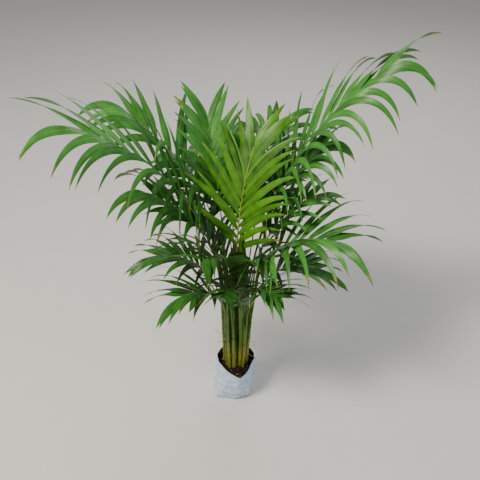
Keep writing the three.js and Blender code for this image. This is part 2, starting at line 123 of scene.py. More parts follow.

# lift to tip: the rachis's slope at its foot and at its end. bow: how late it bends.
# painted light and shade: how much darker or lighter than the rest the frond is painted, for the shade or
# light it stands in, from -1 to 1.
FRONDS = [
    dict(name="left_long", cane=0, seat=90, bearing=190, lift=85, tip=24, bow=1.6, length=760,
         bare=0.46, pairs=10, leaf=300, droop=(0.7, 1.8), open=46, close=20, width=24, painted_light_and_shade=0.25),
    dict(name="left_tall", cane=8, seat=190, bearing=164, lift=80, tip=34, bow=1.8, length=600,
         bare=0.44, leaf=235, vee=26, droop=(0.9, 1.5), width=25, painted_light_and_shade=0.7),
    dict(name="back_fan", cane=8, seat=330, bearing=108, lift=80, tip=56, length=510, leaf=170,
         droop=(0.4, 0.4), painted_light_and_shade=0.8),
    dict(name="young_front", cane=4, bearing=62, lift=88, tip=52, bow=2, length=480, bare=0.34,
         pairs=13, leaf=222, width=24, open=50, vee=16, droop=(0.6, 0.4), tone="young", close=22,
         painted_light_and_shade=0.8),
    dict(name="right_long", cane=7, seat=260, bearing=6, lift=81, tip=34, bow=1.6, length=790,
         bare=0.44, pairs=13, leaf=268, droop=(1.9, 1), open=42, close=14, painted_light_and_shade=0.35),
    dict(name="right_second", cane=7, seat=20, bearing=12, lift=82, tip=40, bow=1.6, length=520,
         bare=0.5, leaf=190, droop=(1.8, 1.4), painted_light_and_shade=0.1),
    dict(name="right_low", cane=3, seat=300, bearing=-14, lift=86, tip=-6, bow=1.8, length=420,
         bare=0.5, pairs=8, leaf=250, width=25, droop=(1.9, 1), open=62, close=26, painted_light_and_shade=0.35),
    dict(name="left_mid", cane=5, seat=10, bearing=186, lift=87, tip=30, bow=1.6, length=460,
         bare=0.42, leaf=240, droop=(1.6, 1.6), pairs=9, width=25, painted_light_and_shade=0.1),
    dict(name="left_low", cane=0, seat=250, bearing=212, lift=82, tip=-5, bow=1.2, length=210,
         bare=0.3, pairs=8, leaf=180, droop=(1, 1), painted_light_and_shade=-0.1),
    dict(name="front_right_low", cane=2, seat=340, bearing=-50, lift=82, tip=5, bow=1.4, length=200,
         bare=0.35, pairs=8, leaf=165, droop=(0.9, 0.9), painted_light_and_shade=0),
    dict(name="front_low", cane=1, seat=262, bearing=262, lift=82, tip=10, length=220, bare=0.35,
         pairs=8, leaf=145, droop=(1, 1), painted_light_and_shade=-0.1),
    dict(name="left_under", cane=5, seat=186, bearing=178, lift=82, tip=-10, length=280, bare=0.35,
         pairs=9, leaf=175, painted_light_and_shade=-0.6),
    dict(name="right_under", cane=3, seat=60, bearing=4, lift=82, tip=-20, length=270, bare=0.35,
         pairs=9, leaf=185, painted_light_and_shade=-0.6),
    dict(name="front_mid", cane=1, seat=80, bearing=235, lift=87, tip=20, bow=1.8, length=320,
         bare=0.4, pairs=9, leaf=210, painted_light_and_shade=0.1),
    dict(name="front_right_mid", cane=2, seat=200, bearing=305, lift=87, tip=20, bow=1.8, length=320,
         bare=0.4, pairs=9, leaf=220, painted_light_and_shade=0.1),
    dict(name="back_right", cane=6, seat=0, bearing=55, lift=84, tip=34, length=540, leaf=185, painted_light_and_shade=0),
    dict(name="back_left_low", cane=8, seat=100, bearing=118, lift=74, tip=0, length=440, bare=0.4,
         leaf=190, painted_light_and_shade=-0.5),
    dict(name="back_right_low", cane=7, seat=130, bearing=72, lift=74, tip=0, length=440, bare=0.4,
         leaf=190, painted_light_and_shade=-0.5),
    dict(name="back_mid", cane=6, seat=130, bearing=92, lift=80, tip=12, length=520, bare=0.42,
         leaf=200, painted_light_and_shade=-0.3),
    dict(name="left_inner", cane=9, bearing=170, lift=86, tip=40, bow=1.6, length=330, bare=0.35,
         pairs=9, leaf=190, painted_light_and_shade=-0.2),
    dict(name="right_inner", cane=10, bearing=18, lift=84, tip=20, bow=2, length=430, bare=0.45,
         pairs=8, leaf=170, droop=(1, 1), painted_light_and_shade=-0.2),
    dict(name="front_left_small", cane=11, bearing=225, lift=80, tip=10, length=190, bare=0.3, pairs=7,
         leaf=130, droop=(0.8, 0.8), painted_light_and_shade=-0.1),
    dict(name="front_right_small", cane=12, bearing=320, lift=80, tip=10, length=190, bare=0.3,
         pairs=7, leaf=130, droop=(0.8, 0.8), painted_light_and_shade=-0.1),
]

UP = np.array([0.0, 0.0, 1.0])


# ---- Settings a user would change ----------------------------------------------------------------

def from_hex(code):
    """A colour as linear red, green, blue from its sRGB hex value."""
    shares = [int(code[i:i + 2], 16) / 255 for i in (1, 3, 5)]
    return tuple(c / 12.92 if c <= 0.04045 else ((c + 0.055) / 1.055) ** 2.4 for c in shares)


def colour_setting(name, code, description):
    return FloatVectorProperty(
        name=name, description=description, subtype="COLOR", size=3, min=0, max=1, default=from_hex(code))


class PALM_bag_settings(bpy.types.PropertyGroup):
    film: FloatProperty(
        name="Film", description="Thickness of the film", subtype="DISTANCE", unit="LENGTH",
        default=0.6 * MM)
    crumple: FloatProperty(
        name="Crumple", description="Height of the film's creases", subtype="DISTANCE",
        unit="LENGTH", default=2.4 * MM)
    outside: colour_setting("Outside", "#8FB6E6", "The film's outer face")
    # Partly painted highlight: this pale colour stands for light caught on the crinkles as well as for
    # film creased and rubbed white.
    scuffed_and_highlit: colour_setting("Scuffed", "#E4EFF9", "The outer face where it is creased and rubbed white")
    inside: colour_setting("Inside", "#141518", "The film's inner face")


class PALM_mix_settings(bpy.types.PropertyGroup):
    lumps: FloatProperty(
        name="Lumps", description="Height of the lumps on top of the mix", subtype="DISTANCE",
        unit="LENGTH", default=5 * MM)
    chips: IntProperty(name="Chips", description="Number of loose bark chips", default=90, min=0)
    crumbs: IntProperty(name="Crumbs", description="Number of loose crumbs", default=420, min=0)
    soil: colour_setting("Mix", "#3A2A22", "Damp potting mix")
    bark: colour_setting("Bark", "#9A7850", "Dry bark and husk")


class PALM_cane_settings(bpy.types.PropertyGroup):
    rib: FloatProperty(
        name="Ribs", description="Height of the sheath's ribs", subtype="DISTANCE", unit="LENGTH",
        default=0.16 * MM)
    ring: FloatProperty(
        name="Rings", description="Spacing of the leaf scars", subtype="DISTANCE", unit="LENGTH",
        default=34 * MM)
    shoots: IntProperty(name="Shoots", description="Number of thin young shoots", default=56, min=0)
    foot: colour_setting("Foot", "#A3A03A", "The sheath near the mix")
    upper: colour_setting("Upper", "#2F6A10", "The sheath higher up")
    scurf: colour_setting("Scurf", "#3A2A1A", "Brown scales and dry sheath edges")


class PALM_leaf_settings(bpy.types.PropertyGroup):
    thickness: FloatProperty(
        name="Thickness", description="Thickness of a leaflet", subtype="DISTANCE", unit="LENGTH",
        default=0.5 * MM)
    fold: FloatProperty(
        name="Fold", description="How steeply a leaflet folds down from its midrib at its foot",
        subtype="ANGLE", unit="ROTATION", default=math.radians(24))
    mature: colour_setting("Mature", "#3C8A2A", "Upper face of a grown leaflet")
    under: colour_setting("Underside", "#528C3C", "Underside of a grown leaflet")
    young: colour_setting("Young", "#5DA312", "A leaflet of the young frond")
    dry: colour_setting("Dry tip", "#86703C", "Dried tips and edges")
    stalk: colour_setting("Stalk", "#5F7F2C", "Petiole and rachis")


class PALM_stage_settings(bpy.types.PropertyGroup):
    floor: colour_setting("Floor", "#E4E1DB", "The floor")
    lens: FloatProperty(
        name="Lens", description="Focal length on a 36 mm wide sensor, in millimetres", default=52.5)


class PALM_settings(bpy.types.PropertyGroup):
    bag: PointerProperty(type=PALM_bag_settings)
    mix: PointerProperty(type=PALM_mix_settings)
    cane: PointerProperty(type=PALM_cane_settings)
    leaf: PointerProperty(type=PALM_leaf_settings)
    stage: PointerProperty(type=PALM_stage_settings)


# ---- Small helpers -------------------------------------------------------------------------------

def lerp(a, b, t):
    return a + (b - a) * t


def eased(t):
    """0 to 1 without a corner at either end."""
    t = np.clip(t, 0, 1)
    return t * t * (3 - 2 * t)


def unit(v):
    return v / np.linalg.norm(v, axis=-1, keepdims=True)


def heading(degrees):
    angle = math.radians(degrees)
    return np.array([math.cos(angle), math.sin(angle), 0.0])


def scatter(k):
    """A fixed scatter between -1 and 1 for each whole number, the same as the frame's."""
    value = math.sin(k * 12.9898 + 78.233) * 43758.5453
    return 2 * (value - math.floor(value)) - 1


def bump_at(spot, size, seed=0.0):
    """Smooth noise between about -1 and 1, with bumps of that size in millimetres."""
    return noise.noise(Vector(spot) / size + Vector((seed, 2.3 * seed, -1.7 * seed)))


def ridge_at(spot, size, seed=0.0):
    """Noise with sharp ridges, from -1 between them to 1 on them."""
    at = Vector(spot) / size + Vector((seed, 1.9 * seed, 3.1 * seed))
    # Each axis is bent by a noise of its own, so that the ridges follow no grid.
    shifts = (9.3, -1.5, -7.9)
    bend = [noise.noise(0.7 * at + Vector((shift, -shift, 2 * shift))) for shift in shifts]
    return 1 - 4 * abs(noise.noise(at + 0.8 * Vector(bend)))


class Shape:
    """Gathers closed tubes, in millimetres, with a number or two for each of their vertices."""

    def __init__(self, *attributes):
        self.spots, self.faces, self.paints = [], [], []
        self.numbers = {name: [] for name in attributes}
        self.count = 0

    def tube(self, rings, paint=0, **numbers):
        """Skins rings of spots, an array of rings by spots by 3, and closes both ends."""
        rows, around = rings.shape[:2]
        index = np.arange(rows * around).reshape(rows, around) + self.count
        after = np.roll(index, -1, axis=1)
        quads = np.stack([index[:-1], after[:-1], after[1:], index[1:]], axis=-1).reshape(-1, 4)
        self.faces += quads.tolist() + [index[0, ::-1].tolist(), index[-1].tolist()]
        paints = np.broadcast_to(paint, (rows - 1, around)).reshape(-1).tolist()
        self.paints += paints + [paints[0], paints[-1]]
        self.spots.append(rings.reshape(-1, 3))
        for name, kept in self.numbers.items():
            kept.append(np.broadcast_to(numbers.get(name, 0.0), (rows, around)).reshape(-1))
        self.count += rows * around

    def lump(self, spots, **numbers):
        """Adds the hull of a few spots."""
        hull = bmesh.new()
        for spot in spots:
            hull.verts.new(spot)
        bmesh.ops.convex_hull(hull, input=hull.verts)
        loose = [v for v in hull.verts if not v.link_faces]
        bmesh.ops.delete(hull, geom=loose, context="VERTS")
        hull.verts.index_update()
        self.spots.append(np.array([v.co for v in hull.verts]))
        self.faces += [[v.index + self.count for v in face.verts] for face in hull.faces]
        self.paints += [0] * len(hull.faces)
        for name, kept in self.numbers.items():
            kept.append(np.full(len(hull.verts), numbers.get(name, 0.0)))
        self.count += len(hull.verts)
        hull.free()

    def piece(self, name, materials, sharp_from, stands_for=()):
        """Makes the mesh object, in metres, and says what it rides on and stands for."""
        mesh = bpy.data.meshes.new(name)
        mesh.from_pydata((np.vstack(self.spots) * MM).tolist(), [], self.faces)
        mesh.polygons.foreach_set("material_index", self.paints)
        for key, kept in self.numbers.items():
            layer = mesh.attributes.new(key, "FLOAT", "POINT")
            layer.data.foreach_set("value", np.concatenate(kept).astype(np.float32))
        for material in materials:
            mesh.materials.append(material)
        outward = bmesh.new()
        outward.from_mesh(mesh)
        bmesh.ops.recalc_face_normals(outward, faces=outward.faces)
        outward.to_mesh(mesh)
        outward.free()
        mesh.shade_smooth()
        mesh.set_sharp_from_angle(angle=math.radians(sharp_from))
        made = bpy.data.objects.new(name, mesh)
        bpy.context.scene.collection.objects.link(made)
        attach(made, BODY)
        if stands_for:
            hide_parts(*stands_for)
        return made


def add(tree, kind, inputs=None, stops=None, **settings):
    """Adds one node. inputs gives its sockets a value or another node's output."""
    made = tree.nodes.new(kind)
    for key, value in settings.items():
        setattr(made, key, value)
    if stops:
        ramp = made.color_ramp.elements
        while len(ramp) < len(stops):
            ramp.new(1)
        for element, (place, colour) in zip(ramp, stops):
            element.position = place
            element.color = (*colour, 1)
    for key, value in (inputs or {}).items():
        if isinstance(value, bpy.types.NodeSocket):
            tree.links.new(value, made.inputs[key])
        else:
            made.inputs[key].default_value = value
    return made


def new_material(name):
    """An empty material and its tree."""
    material = bpy.data.materials.new(name)
    material.use_nodes = True
    material.node_tree.nodes.clear()
    return material, material.node_tree


def mixed(tree, share, first, second, blend="MIX"):
    """The colour that lies share of the way from first to second."""
    opaque = [(*c, 1) if isinstance(c, tuple) else c for c in (first, second)]
    made = add(tree, "ShaderNodeMix", {0: share, 6: opaque[0], 7: opaque[1]},
               data_type="RGBA", blend_type=blend)
    return made.outputs[2]


# ---- Materials -----------------------------------------------------------------------------------

def film_outside(settings):
    """Blue-white polyethylene film, blown, then crumpled: creases rubbed white with painted highlights on
    the crinkles, soft plastic gloss.
    """
    material, tree = new_material("Polyethylene film, blown and crumpled")
    place = add(tree, "ShaderNodeTexCoord").outputs["Object"]
    # Pale patches, partly film rubbed white and partly painted highlight, are about 30 mm across, with
    # ragged edges, and crinkles about 5 mm.
    patches = add(tree, "ShaderNodeTexNoise", {
        "Vector": place, "Scale": 1 / (30 * MM), "Detail": 7, "Roughness": 0.72, "Distortion": 1.4})
    crinkles = add(tree, "ShaderNodeTexVoronoi", {"Vector": place, "Scale": 1 / (5 * MM)})
    folds = add(tree, "ShaderNodeAttribute", attribute_name="fold")
    rubbed_and_highlit = add(tree, "ShaderNodeMapRange", {
        0: patches.outputs[0], 1: 0.3, 2: 0.66, 3: 0.15, 4: 0.85})
    # The sharp fold ridges get the pale colour too: painted highlight along the crinkles, together with
    # the whitening of the creases.
    share = add(tree, "ShaderNodeMath", {0: rubbed_and_highlit.outputs[0], 1: folds.outputs["Fac"]},
                operation="ADD", use_clamp=True)
    colour = mixed(tree, share.outputs[0], tuple(settings.outside), tuple(settings.scuffed_and_highlit))
    # The film is darker and browner towards its foot, in patches.
    height = add(tree, "ShaderNodeSeparateXYZ", {0: place})
    near_foot = add(tree, "ShaderNodeMapRange", {
        0: height.outputs[2], 1: 0.0, 2: 34 * MM, 3: 0.5, 4: 0.0})
    foot_darkening = add(tree, "ShaderNodeMath", {0: near_foot.outputs[0], 1: patches.outputs[0]},
               operation="MULTIPLY")
    colour = mixed(tree, foot_darkening.outputs[0], colour, from_hex("#8B7D6C"))
    creased = add(tree, "ShaderNodeBump", {
        "Height": crinkles.outputs[0], "Strength": 0.6, "Distance": 0.6 * MM})
    surface = add(tree, "ShaderNodeBsdfPrincipled", {
        "Base Color": colour, "Roughness": 0.42, "IOR": 1.5, "Normal": creased.outputs[0]})
    add(tree, "ShaderNodeOutputMaterial", {0: surface.outputs[0]})
    return material


def film_inside(settings):
    """Carbon-black polyethylene, the film's inner face, blown: dark and soft, dusted with mix."""
    material, tree = new_material("Polyethylene film, carbon-black inner face")
    place = add(tree, "ShaderNodeTexCoord").outputs["Object"]
    dust = add(tree, "ShaderNodeTexNoise", {
        "Vector": place, "Scale": 1 / (9 * MM), "Detail": 5, "Roughness": 0.7})
    share = add(tree, "ShaderNodeMapRange", {0: dust.outputs[0], 1: 0.5, 2: 0.75, 3: 0.0, 4: 0.55})
    colour = mixed(tree, share.outputs[0], tuple(settings.inside), from_hex("#4B4138"))
    rough = add(tree, "ShaderNodeMapRange", {0: dust.outputs[0], 1: 0.4, 2: 0.7, 3: 0.38, 4: 0.7})
    surface = add(tree, "ShaderNodeBsdfPrincipled", {
        "Base Color": colour, "Roughness": rough.outputs[0], "IOR": 1.5})
    add(tree, "ShaderNodeOutputMaterial", {0: surface.outputs[0]})
    return material


def potting_soil(settings):
    """Peat and coir mix, sieved and watered: dark crumbs from 1 to 6 mm with painted shade in the gaps
    between them, dull, with paler fibres.
    """
    material, tree = new_material("Potting mix, sieved and damp")
    place = add(tree, "ShaderNodeTexCoord").outputs["Object"]
    crumbs = add(tree, "ShaderNodeTexVoronoi", {
        "Vector": place, "Scale": 1 / (5 * MM), "Randomness": 1.0})
    grit = add(tree, "ShaderNodeTexNoise", {
        "Vector": place, "Scale": 1 / (2.2 * MM), "Detail": 6, "Roughness": 0.7})
    damp = add(tree, "ShaderNodeTexNoise", {"Vector": place, "Scale": 1 / (30 * MM), "Detail": 3})
    # Painted shade: the gaps between crumbs are darkened, as if shaded by the crumbs round them.
    dark = tuple(0.35 * c for c in settings.soil)
    painted_light_and_shade = add(tree, "ShaderNodeMapRange", {0: crumbs.outputs[0], 1: 0.0, 2: 0.55, 3: 1.0, 4: 0.0})
    colour = mixed(tree, painted_light_and_shade.outputs[0], dark, tuple(settings.soil))
    pale = add(tree, "ShaderNodeMapRange", {0: grit.outputs[0], 1: 0.58, 2: 0.72, 3: 0.0, 4: 0.6})
    colour = mixed(tree, pale.outputs[0], colour, from_hex("#7A6047"))
    wet = add(tree, "ShaderNodeMapRange", {0: damp.outputs[0], 1: 0.4, 2: 0.65, 3: 0.0, 4: 0.5})
    colour = mixed(tree, wet.outputs[0], colour, from_hex("#1E1512"))
    raised = add(tree, "ShaderNodeMath", {0: crumbs.outputs[0], 1: grit.outputs[0]},
                 operation="SUBTRACT")
    relief = add(tree, "ShaderNodeBump", {
        "Height": raised.outputs[0], "Strength": 0.9, "Distance": 1.6 * MM}, invert=True)
    surface = add(tree, "ShaderNodeBsdfPrincipled", {
        "Base Color": colour, "Roughness": 0.93, "IOR": 1.4, "Normal": relief.outputs[0]})
    add(tree, "ShaderNodeOutputMaterial", {0: surface.outputs[0]})
    return material


def bark(settings):
    """Pine bark and coconut husk, shredded and sun-dried: fibrous, dull, each chip its own brown."""
    material, tree = new_material("Bark and husk, shredded and dried")
    place = add(tree, "ShaderNodeTexCoord").outputs["Object"]
    tint = add(tree, "ShaderNodeAttribute", attribute_name="tint")
    # Fibres are about 1.6 mm apart, drawn coarse so that they show.
    fibre = add(tree, "ShaderNodeTexNoise", {
        "Vector": place, "Scale": 1 / (1.6 * MM), "Detail": 4, "Distortion": 1.2})
    shades = add(tree, "ShaderNodeValToRGB", {0: tint.outputs["Fac"]}, stops=[
        (0.0, from_hex("#2E211A")), (0.45, from_hex("#5B4330")),
        (0.75, tuple(settings.bark)), (1.0, from_hex("#C9AE84"))])
    dark = mixed(tree, fibre.outputs[0], (0.4, 0.38, 0.36), (1.0, 1.0, 1.0))
    colour = mixed(tree, 0.8, shades.outputs[0], dark, "MULTIPLY")
    grain = add(tree, "ShaderNodeBump", {
        "Height": fibre.outputs[0], "Strength": 0.6, "Distance": 0.5 * MM})
    surface = add(tree, "ShaderNodeBsdfPrincipled", {
        "Base Color": colour, "Roughness": 0.85, "IOR": 1.45, "Normal": grain.outputs[0]})
    add(tree, "ShaderNodeOutputMaterial", {0: surface.outputs[0]})
    return material


def cane_sheath(settings):
    """Living palm sheath, grown and weathered: waxy, ribbed lengthways, scurfy at its dry edges."""
    material, tree = new_material("Palm leaf sheath, grown and weathered")
    place = add(tree, "ShaderNodeTexCoord").outputs["Object"]
    rise = add(tree, "ShaderNodeAttribute", attribute_name="rise")
    dry = add(tree, "ShaderNodeAttribute", attribute_name="dry")
    tint = add(tree, "ShaderNodeAttribute", attribute_name="tint")
    # Long streaks about 1.5 mm wide and 40 mm tall.
    stretched = add(tree, "ShaderNodeMapping", {0: place, 3: (1.0, 1.0, 0.04)})
    streaks = add(tree, "ShaderNodeTexNoise", {
        "Vector": stretched.outputs[0], "Scale": 1 / (3 * MM), "Detail": 4})
    blotches = add(tree, "ShaderNodeTexNoise", {
        "Vector": place, "Scale": 1 / (7 * MM), "Detail": 5, "Roughness": 0.7})
    climb = add(tree, "ShaderNodeMath", {0: rise.outputs["Fac"], 1: tint.outputs["Fac"]},
                operation="ADD", use_clamp=True)
    colour = mixed(tree, climb.outputs[0], tuple(settings.foot), tuple(settings.upper))
    streaked = add(tree, "ShaderNodeMapRange", {0: streaks.outputs[0], 1: 0.35, 2: 0.7, 3: 0.0, 4: 0.4})
    colour = mixed(tree, streaked.outputs[0], colour, from_hex("#A3AE36"))
    specks = add(tree, "ShaderNodeMapRange", {0: blotches.outputs[0], 1: 0.56, 2: 0.68, 3: 0.0, 4: 0.75})
    scurfy = add(tree, "ShaderNodeMath", {0: specks.outputs[0], 1: dry.outputs["Fac"]},
                 operation="ADD", use_clamp=True)
    colour = mixed(tree, scurfy.outputs[0], colour, tuple(settings.scurf))
    rough = add(tree, "ShaderNodeMapRange", {0: scurfy.outputs[0], 1: 0.0, 2: 1.0, 3: 0.42, 4: 0.85})
    ribs = add(tree, "ShaderNodeBump", {
        "Height": streaks.outputs[0], "Strength": 0.5, "Distance": 0.4 * MM})
    surface = add(tree, "ShaderNodeBsdfPrincipled", {
        "Base Color": colour, "Roughness": rough.outputs[0], "IOR": 1.45, "Normal": ribs.outputs[0]})
    add(tree, "ShaderNodeOutputMaterial", {0: surface.outputs[0]})
    return material


def leaf_blade(name, top, under, dry, through):
    """Palm leaflet, living and waxy: a sheen over fine parallel veins, light glowing through."""
    material, tree = new_material(name)
    place = add(tree, "ShaderNodeTexCoord").outputs["Object"]
    across, along, tint, face = (
        add(tree, "ShaderNodeAttribute", attribute_name=key).outputs["Fac"]
        for key in ("across", "along", "tint", "face"))
    # Patches of older and newer green are about 35 mm across.
    patches = add(tree, "ShaderNodeTexNoise", {"Vector": place, "Scale": 1 / (35 * MM), "Detail": 4})
    colour = mixed(tree, face, under, top)
    # The tint attribute carries painted light and shade as well as each leaflet's own tone; the ramp
    # below turns it into darker and lighter green.
    tones_and_painted_shade = add(tree, "ShaderNodeMath", {0: patches.outputs[0], 1: tint}, operation="ADD")
    shades = add(tree, "ShaderNodeValToRGB", {0: tones_and_painted_shade.outputs[0]}, stops=[
        (0.0, (0.07, 0.13, 0.08)), (0.5, (1.0, 1.0, 1.0)), (1.0, (2.1, 1.6, 1.9))])
    colour = mixed(tree, 0.85, colour, shades.outputs[0], "MULTIPLY")
    # Veins run along the blade, drawn 1.4 mm apart so that they show.
    phase = add(tree, "ShaderNodeMath", {0: across, 1: 7 * math.tau}, operation="MULTIPLY")
    veins = add(tree, "ShaderNodeMath", {0: phase.outputs[0]}, operation="SINE")
    lines = add(tree, "ShaderNodeMapRange", {0: veins.outputs[0], 1: 0.4, 2: 1.0, 3: 0.0, 4: 0.1})
    colour = mixed(tree, lines.outputs[0], colour, from_hex("#B9CF9A"))
    # The midrib is paler than the blade.
    middle = add(tree, "ShaderNodeMath", {0: across}, operation="ABSOLUTE")
    rib = add(tree, "ShaderNodeMapRange", {0: middle.outputs[0], 1: 0.0, 2: 0.07, 3: 0.2, 4: 0.0})
    colour = mixed(tree, rib.outputs[0], colour, from_hex("#C3CF86"))
    # Tips dry out first, by a different amount on each leaflet.
    flutter = add(tree, "ShaderNodeTexNoise", {"Vector": place, "Scale": 1 / (8 * MM), "Detail": 3})
    reach = add(tree, "ShaderNodeMath", {0: flutter.outputs[0], 1: 0.09, 2: along},
                operation="MULTIPLY_ADD")
    start = add(tree, "ShaderNodeAttribute", attribute_name="dry").outputs["Fac"]
    beyond = add(tree, "ShaderNodeMath", {0: reach.outputs[0], 1: start}, operation="SUBTRACT")
    yellow = add(tree, "ShaderNodeMapRange", {0: beyond.outputs[0], 1: -0.06, 2: 0.02, 3: 0.0, 4: 0.8})
    colour = mixed(tree, yellow.outputs[0], colour, from_hex("#B9B34A"))
    brown = add(tree, "ShaderNodeMapRange", {0: beyond.outputs[0], 1: 0.0, 2: 0.04, 3: 0.0, 4: 1.0})
    colour = mixed(tree, brown.outputs[0], colour, dry)
    fluted = add(tree, "ShaderNodeBump", {
        "Height": veins.outputs[0], "Strength": 0.35, "Distance": 0.12 * MM})
    surface = add(tree, "ShaderNodeBsdfPrincipled", {
        "Base Color": colour, "Roughness": 0.42, "IOR": 1.45, "Coat Weight": 0.18,
        "Coat Roughness": 0.35, "Normal": fluted.outputs[0]})
    bright = mixed(tree, 0.3, colour, from_hex("#7FC81E"))
    glow = add(tree, "ShaderNodeBsdfTranslucent", {"Color": bright})
    both = add(tree, "ShaderNodeMixShader", {0: through, 1: surface.outputs[0], 2: glow.outputs[0]})
    add(tree, "ShaderNodeOutputMaterial", {0: both.outputs[0]})
    return material


def stalk_skin(name, foot, tip):
    """Petiole and rachis, living: smooth and waxy, yellower where it leaves its sheath."""
    material, tree = new_material(name)
    place = add(tree, "ShaderNodeTexCoord").outputs["Object"]
    along = add(tree, "ShaderNodeAttribute", attribute_name="along")
    specks = add(tree, "ShaderNodeTexNoise", {
        "Vector": place, "Scale": 1 / (4 * MM), "Detail": 5, "Roughness": 0.7})
    colour = mixed(tree, along.outputs["Fac"], foot, tip)
    brown = add(tree, "ShaderNodeMapRange", {0: specks.outputs[0], 1: 0.55, 2: 0.7, 3: 0.0, 4: 0.6})
    colour = mixed(tree, brown.outputs[0], colour, from_hex("#5A4028"))
    skin = add(tree, "ShaderNodeBump", {
        "Height": specks.outputs[0], "Strength": 0.3, "Distance": 0.2 * MM})
    surface = add(tree, "ShaderNodeBsdfPrincipled", {
        "Base Color": colour, "Roughness": 0.45, "IOR": 1.45, "Normal": skin.outputs[0]})
    add(tree, "ShaderNodeOutputMaterial", {0: surface.outputs[0]})
    return material


def painted_floor(settings):
    """Matt emulsion on a smooth board: pale, with a barely seen mottle."""
    material, tree = new_material("Emulsion paint, rolled on board")
    place = add(tree, "ShaderNodeTexCoord").outputs["Object"]
    mottle = add(tree, "ShaderNodeTexNoise", {"Vector": place, "Scale": 1 / (60 * MM), "Detail": 3})
    deeper = tuple(0.95 * c for c in settings.floor)
    colour = mixed(tree, mottle.outputs[0], tuple(settings.floor), deeper)
    surface = add(tree, "ShaderNodeBsdfPrincipled", {"Base Color": colour, "Roughness": 0.8})
    add(tree, "ShaderNodeOutputMaterial", {0: surface.outputs[0]})
    return material


# ---- Bag and mix ---------------------------------------------------------------------------------

BAG_AROUND, BAG_ROWS = 240, 84
RIM_WAVE = 1.6  # how far the free rim waves in and out
MIX_AROUND = 150


def peak(bearing, centre, reach):
    """1 at a bearing, falling to 0 in a sharp peak over reach degrees to each side."""
    away = abs((bearing - centre + 540) % 360 - 180)
    return max(0, 1 - away / reach) ** PEAK_SHARPNESS


def rim_height(bearing):
    return BAG_HEIGHT - sum(dip * peak(bearing, at, DIP_REACH) for at, _, dip in CREASES)


def wall_spot(bearing, level, inset=0.0):
    """A spot on the bag's wall, level 0 at the foot and 1 at the rim, and the way out from it."""
    radius = lerp(BAG_FOOT_RADIUS, BAG_MOUTH_RADIUS, level)
    radius += (BAG_BELLY_RADIUS - BAG_FOOT_RADIUS) * math.sin(math.pi * level ** BELLY_SETTLE)
    for at, out, _ in CREASES:
        radius += out * level ** CREASE_RISE * peak(bearing, at, CREASE_REACH)
    for at, out in FOOT_CORNERS:
        radius += out * (1 - level) ** FOOT_CORNER_FADE * peak(bearing, at, FOOT_CORNER_REACH)
    way = heading(bearing)
    lean = np.array([*BAG_LEAN, 0.0]) * level ** LEAN_RISE
    return way * (radius - inset) + lean + UP * level * rim_height(bearing), way


def crumpled(spot, bearing, level, height):
    """How far the film stands out at a spot, in millimetres, and how sharply it is folded there."""
    wide, fine, tiny = ridge_at(spot, 46, 3.1), ridge_at(spot, 19, 7.7), ridge_at(spot, 8, 1.3)
    # The film gathers into upright pleats where it leaves the foot, and buckles level in between.
    pleat = math.sin(math.radians(bearing) * 23 + 2 * bump_at(spot, 40)) * math.exp(-level / 0.16)
    buckle = math.sin(level * 26 + 3 * bump_at(spot, 55, 5.0)) * 0.35
    calm = lerp(0.45, 1.0, eased(level / 0.1))
    out = height * (0.55 * wide + 0.3 * fine + 0.14 * tiny + 0.4 * pleat + buckle) * calm
    return out, max(0.0, 0.5 * fine + 0.4 * wide)


class PALM_OT_bag(bpy.types.Operator):
    """Makes the grow bag: one crumpled shell of film, blue-white outside and black inside"""

    bl_idname = "palm.bag"
    bl_label = "Grow bag"

    def execute(self, context):
        settings = context.scene.palm.bag
        bearings = [360 * i / BAG_AROUND for i in range(BAG_AROUND)]
        film, crumple = settings.film / MM, settings.crumple / MM
        levels = [(i / BAG_ROWS) ** 0.85 for i in range(BAG_ROWS + 1)]
        outer, inner, folds = [], [], []
        for level in levels:
            ring, lining, sharp = [], [], []
            for bearing in bearings:
                spot, way = wall_spot(bearing, level)
                out, fold = crumpled(spot, bearing, level, crumple)
                # A free rim waves a little; the foot lies flat on what it stands on.
                wave = RIM_WAVE * bump_at(spot, 24, 9.0) * eased((level - 0.8) / 0.2)
                spot = spot + way * (out - 1.2 + wave) + UP * wave * 0.8
                spot[2] = max(spot[2], 0.0)
                ring.append(spot)
                lined = spot - way * film
                lined[2] = max(lined[2], film)
                lining.append(lined)
                sharp.append(fold)
            outer.append(ring)
            inner.append(lining)
            folds.append(sharp)
        outer, inner, folds = np.array(outer), np.array(inner), np.array(folds)
        floor = [lerp(outer[0], 0 * UP, share) for share in (0.8, 0.4, 0.1)]
        lining = [lerp(inner[0], UP * film, share) for share in (0.1, 0.4, 0.8)]
        rings = np.array([*floor, *outer, *inner[::-1], *lining])
        flat = np.zeros((len(floor), BAG_AROUND))
        folds = np.concatenate([flat, folds, 0 * folds, flat]) * 0.3
        paint = np.zeros((len(rings) - 1, BAG_AROUND), int)
        paint[len(floor) + BAG_ROWS - 1:] = 1
        shape = Shape("fold")
        shape.tube(rings, paint, fold=folds)
        shape.piece("grow_bag_film", [film_outside(settings), film_inside(settings)], 50,
                    ["grow_bag"])
        return {"FINISHED"}


def mix_height(bearing, out):
    """The height of the mix's top, out from 0 in the middle to 1 at the film."""
    return lerp(MIX_TOP, MIX_EDGE_LEVEL * rim_height(bearing), out ** 2)


def mix_spot(bearing, out, inset=3.4):
    """A spot on the mix's top, out from 0 in the middle to 1 near the film, before lumps raise it."""
    edge, _ = wall_spot(bearing, MIX_EDGE_LEVEL, inset)
    spot = edge * out
    spot[2] = mix_height(bearing, out)
    return spot


def lumpy(spot, height):
    """How far lumps up to that height raise a spot, in millimetres."""
    lumps = 0.5 * bump_at(spot, 17, 2.0) + 0.35 * bump_at(spot, 7, 4.0) + 0.25 * bump_at(spot, 3, 6.0)
    return height * (lumps - 0.35)


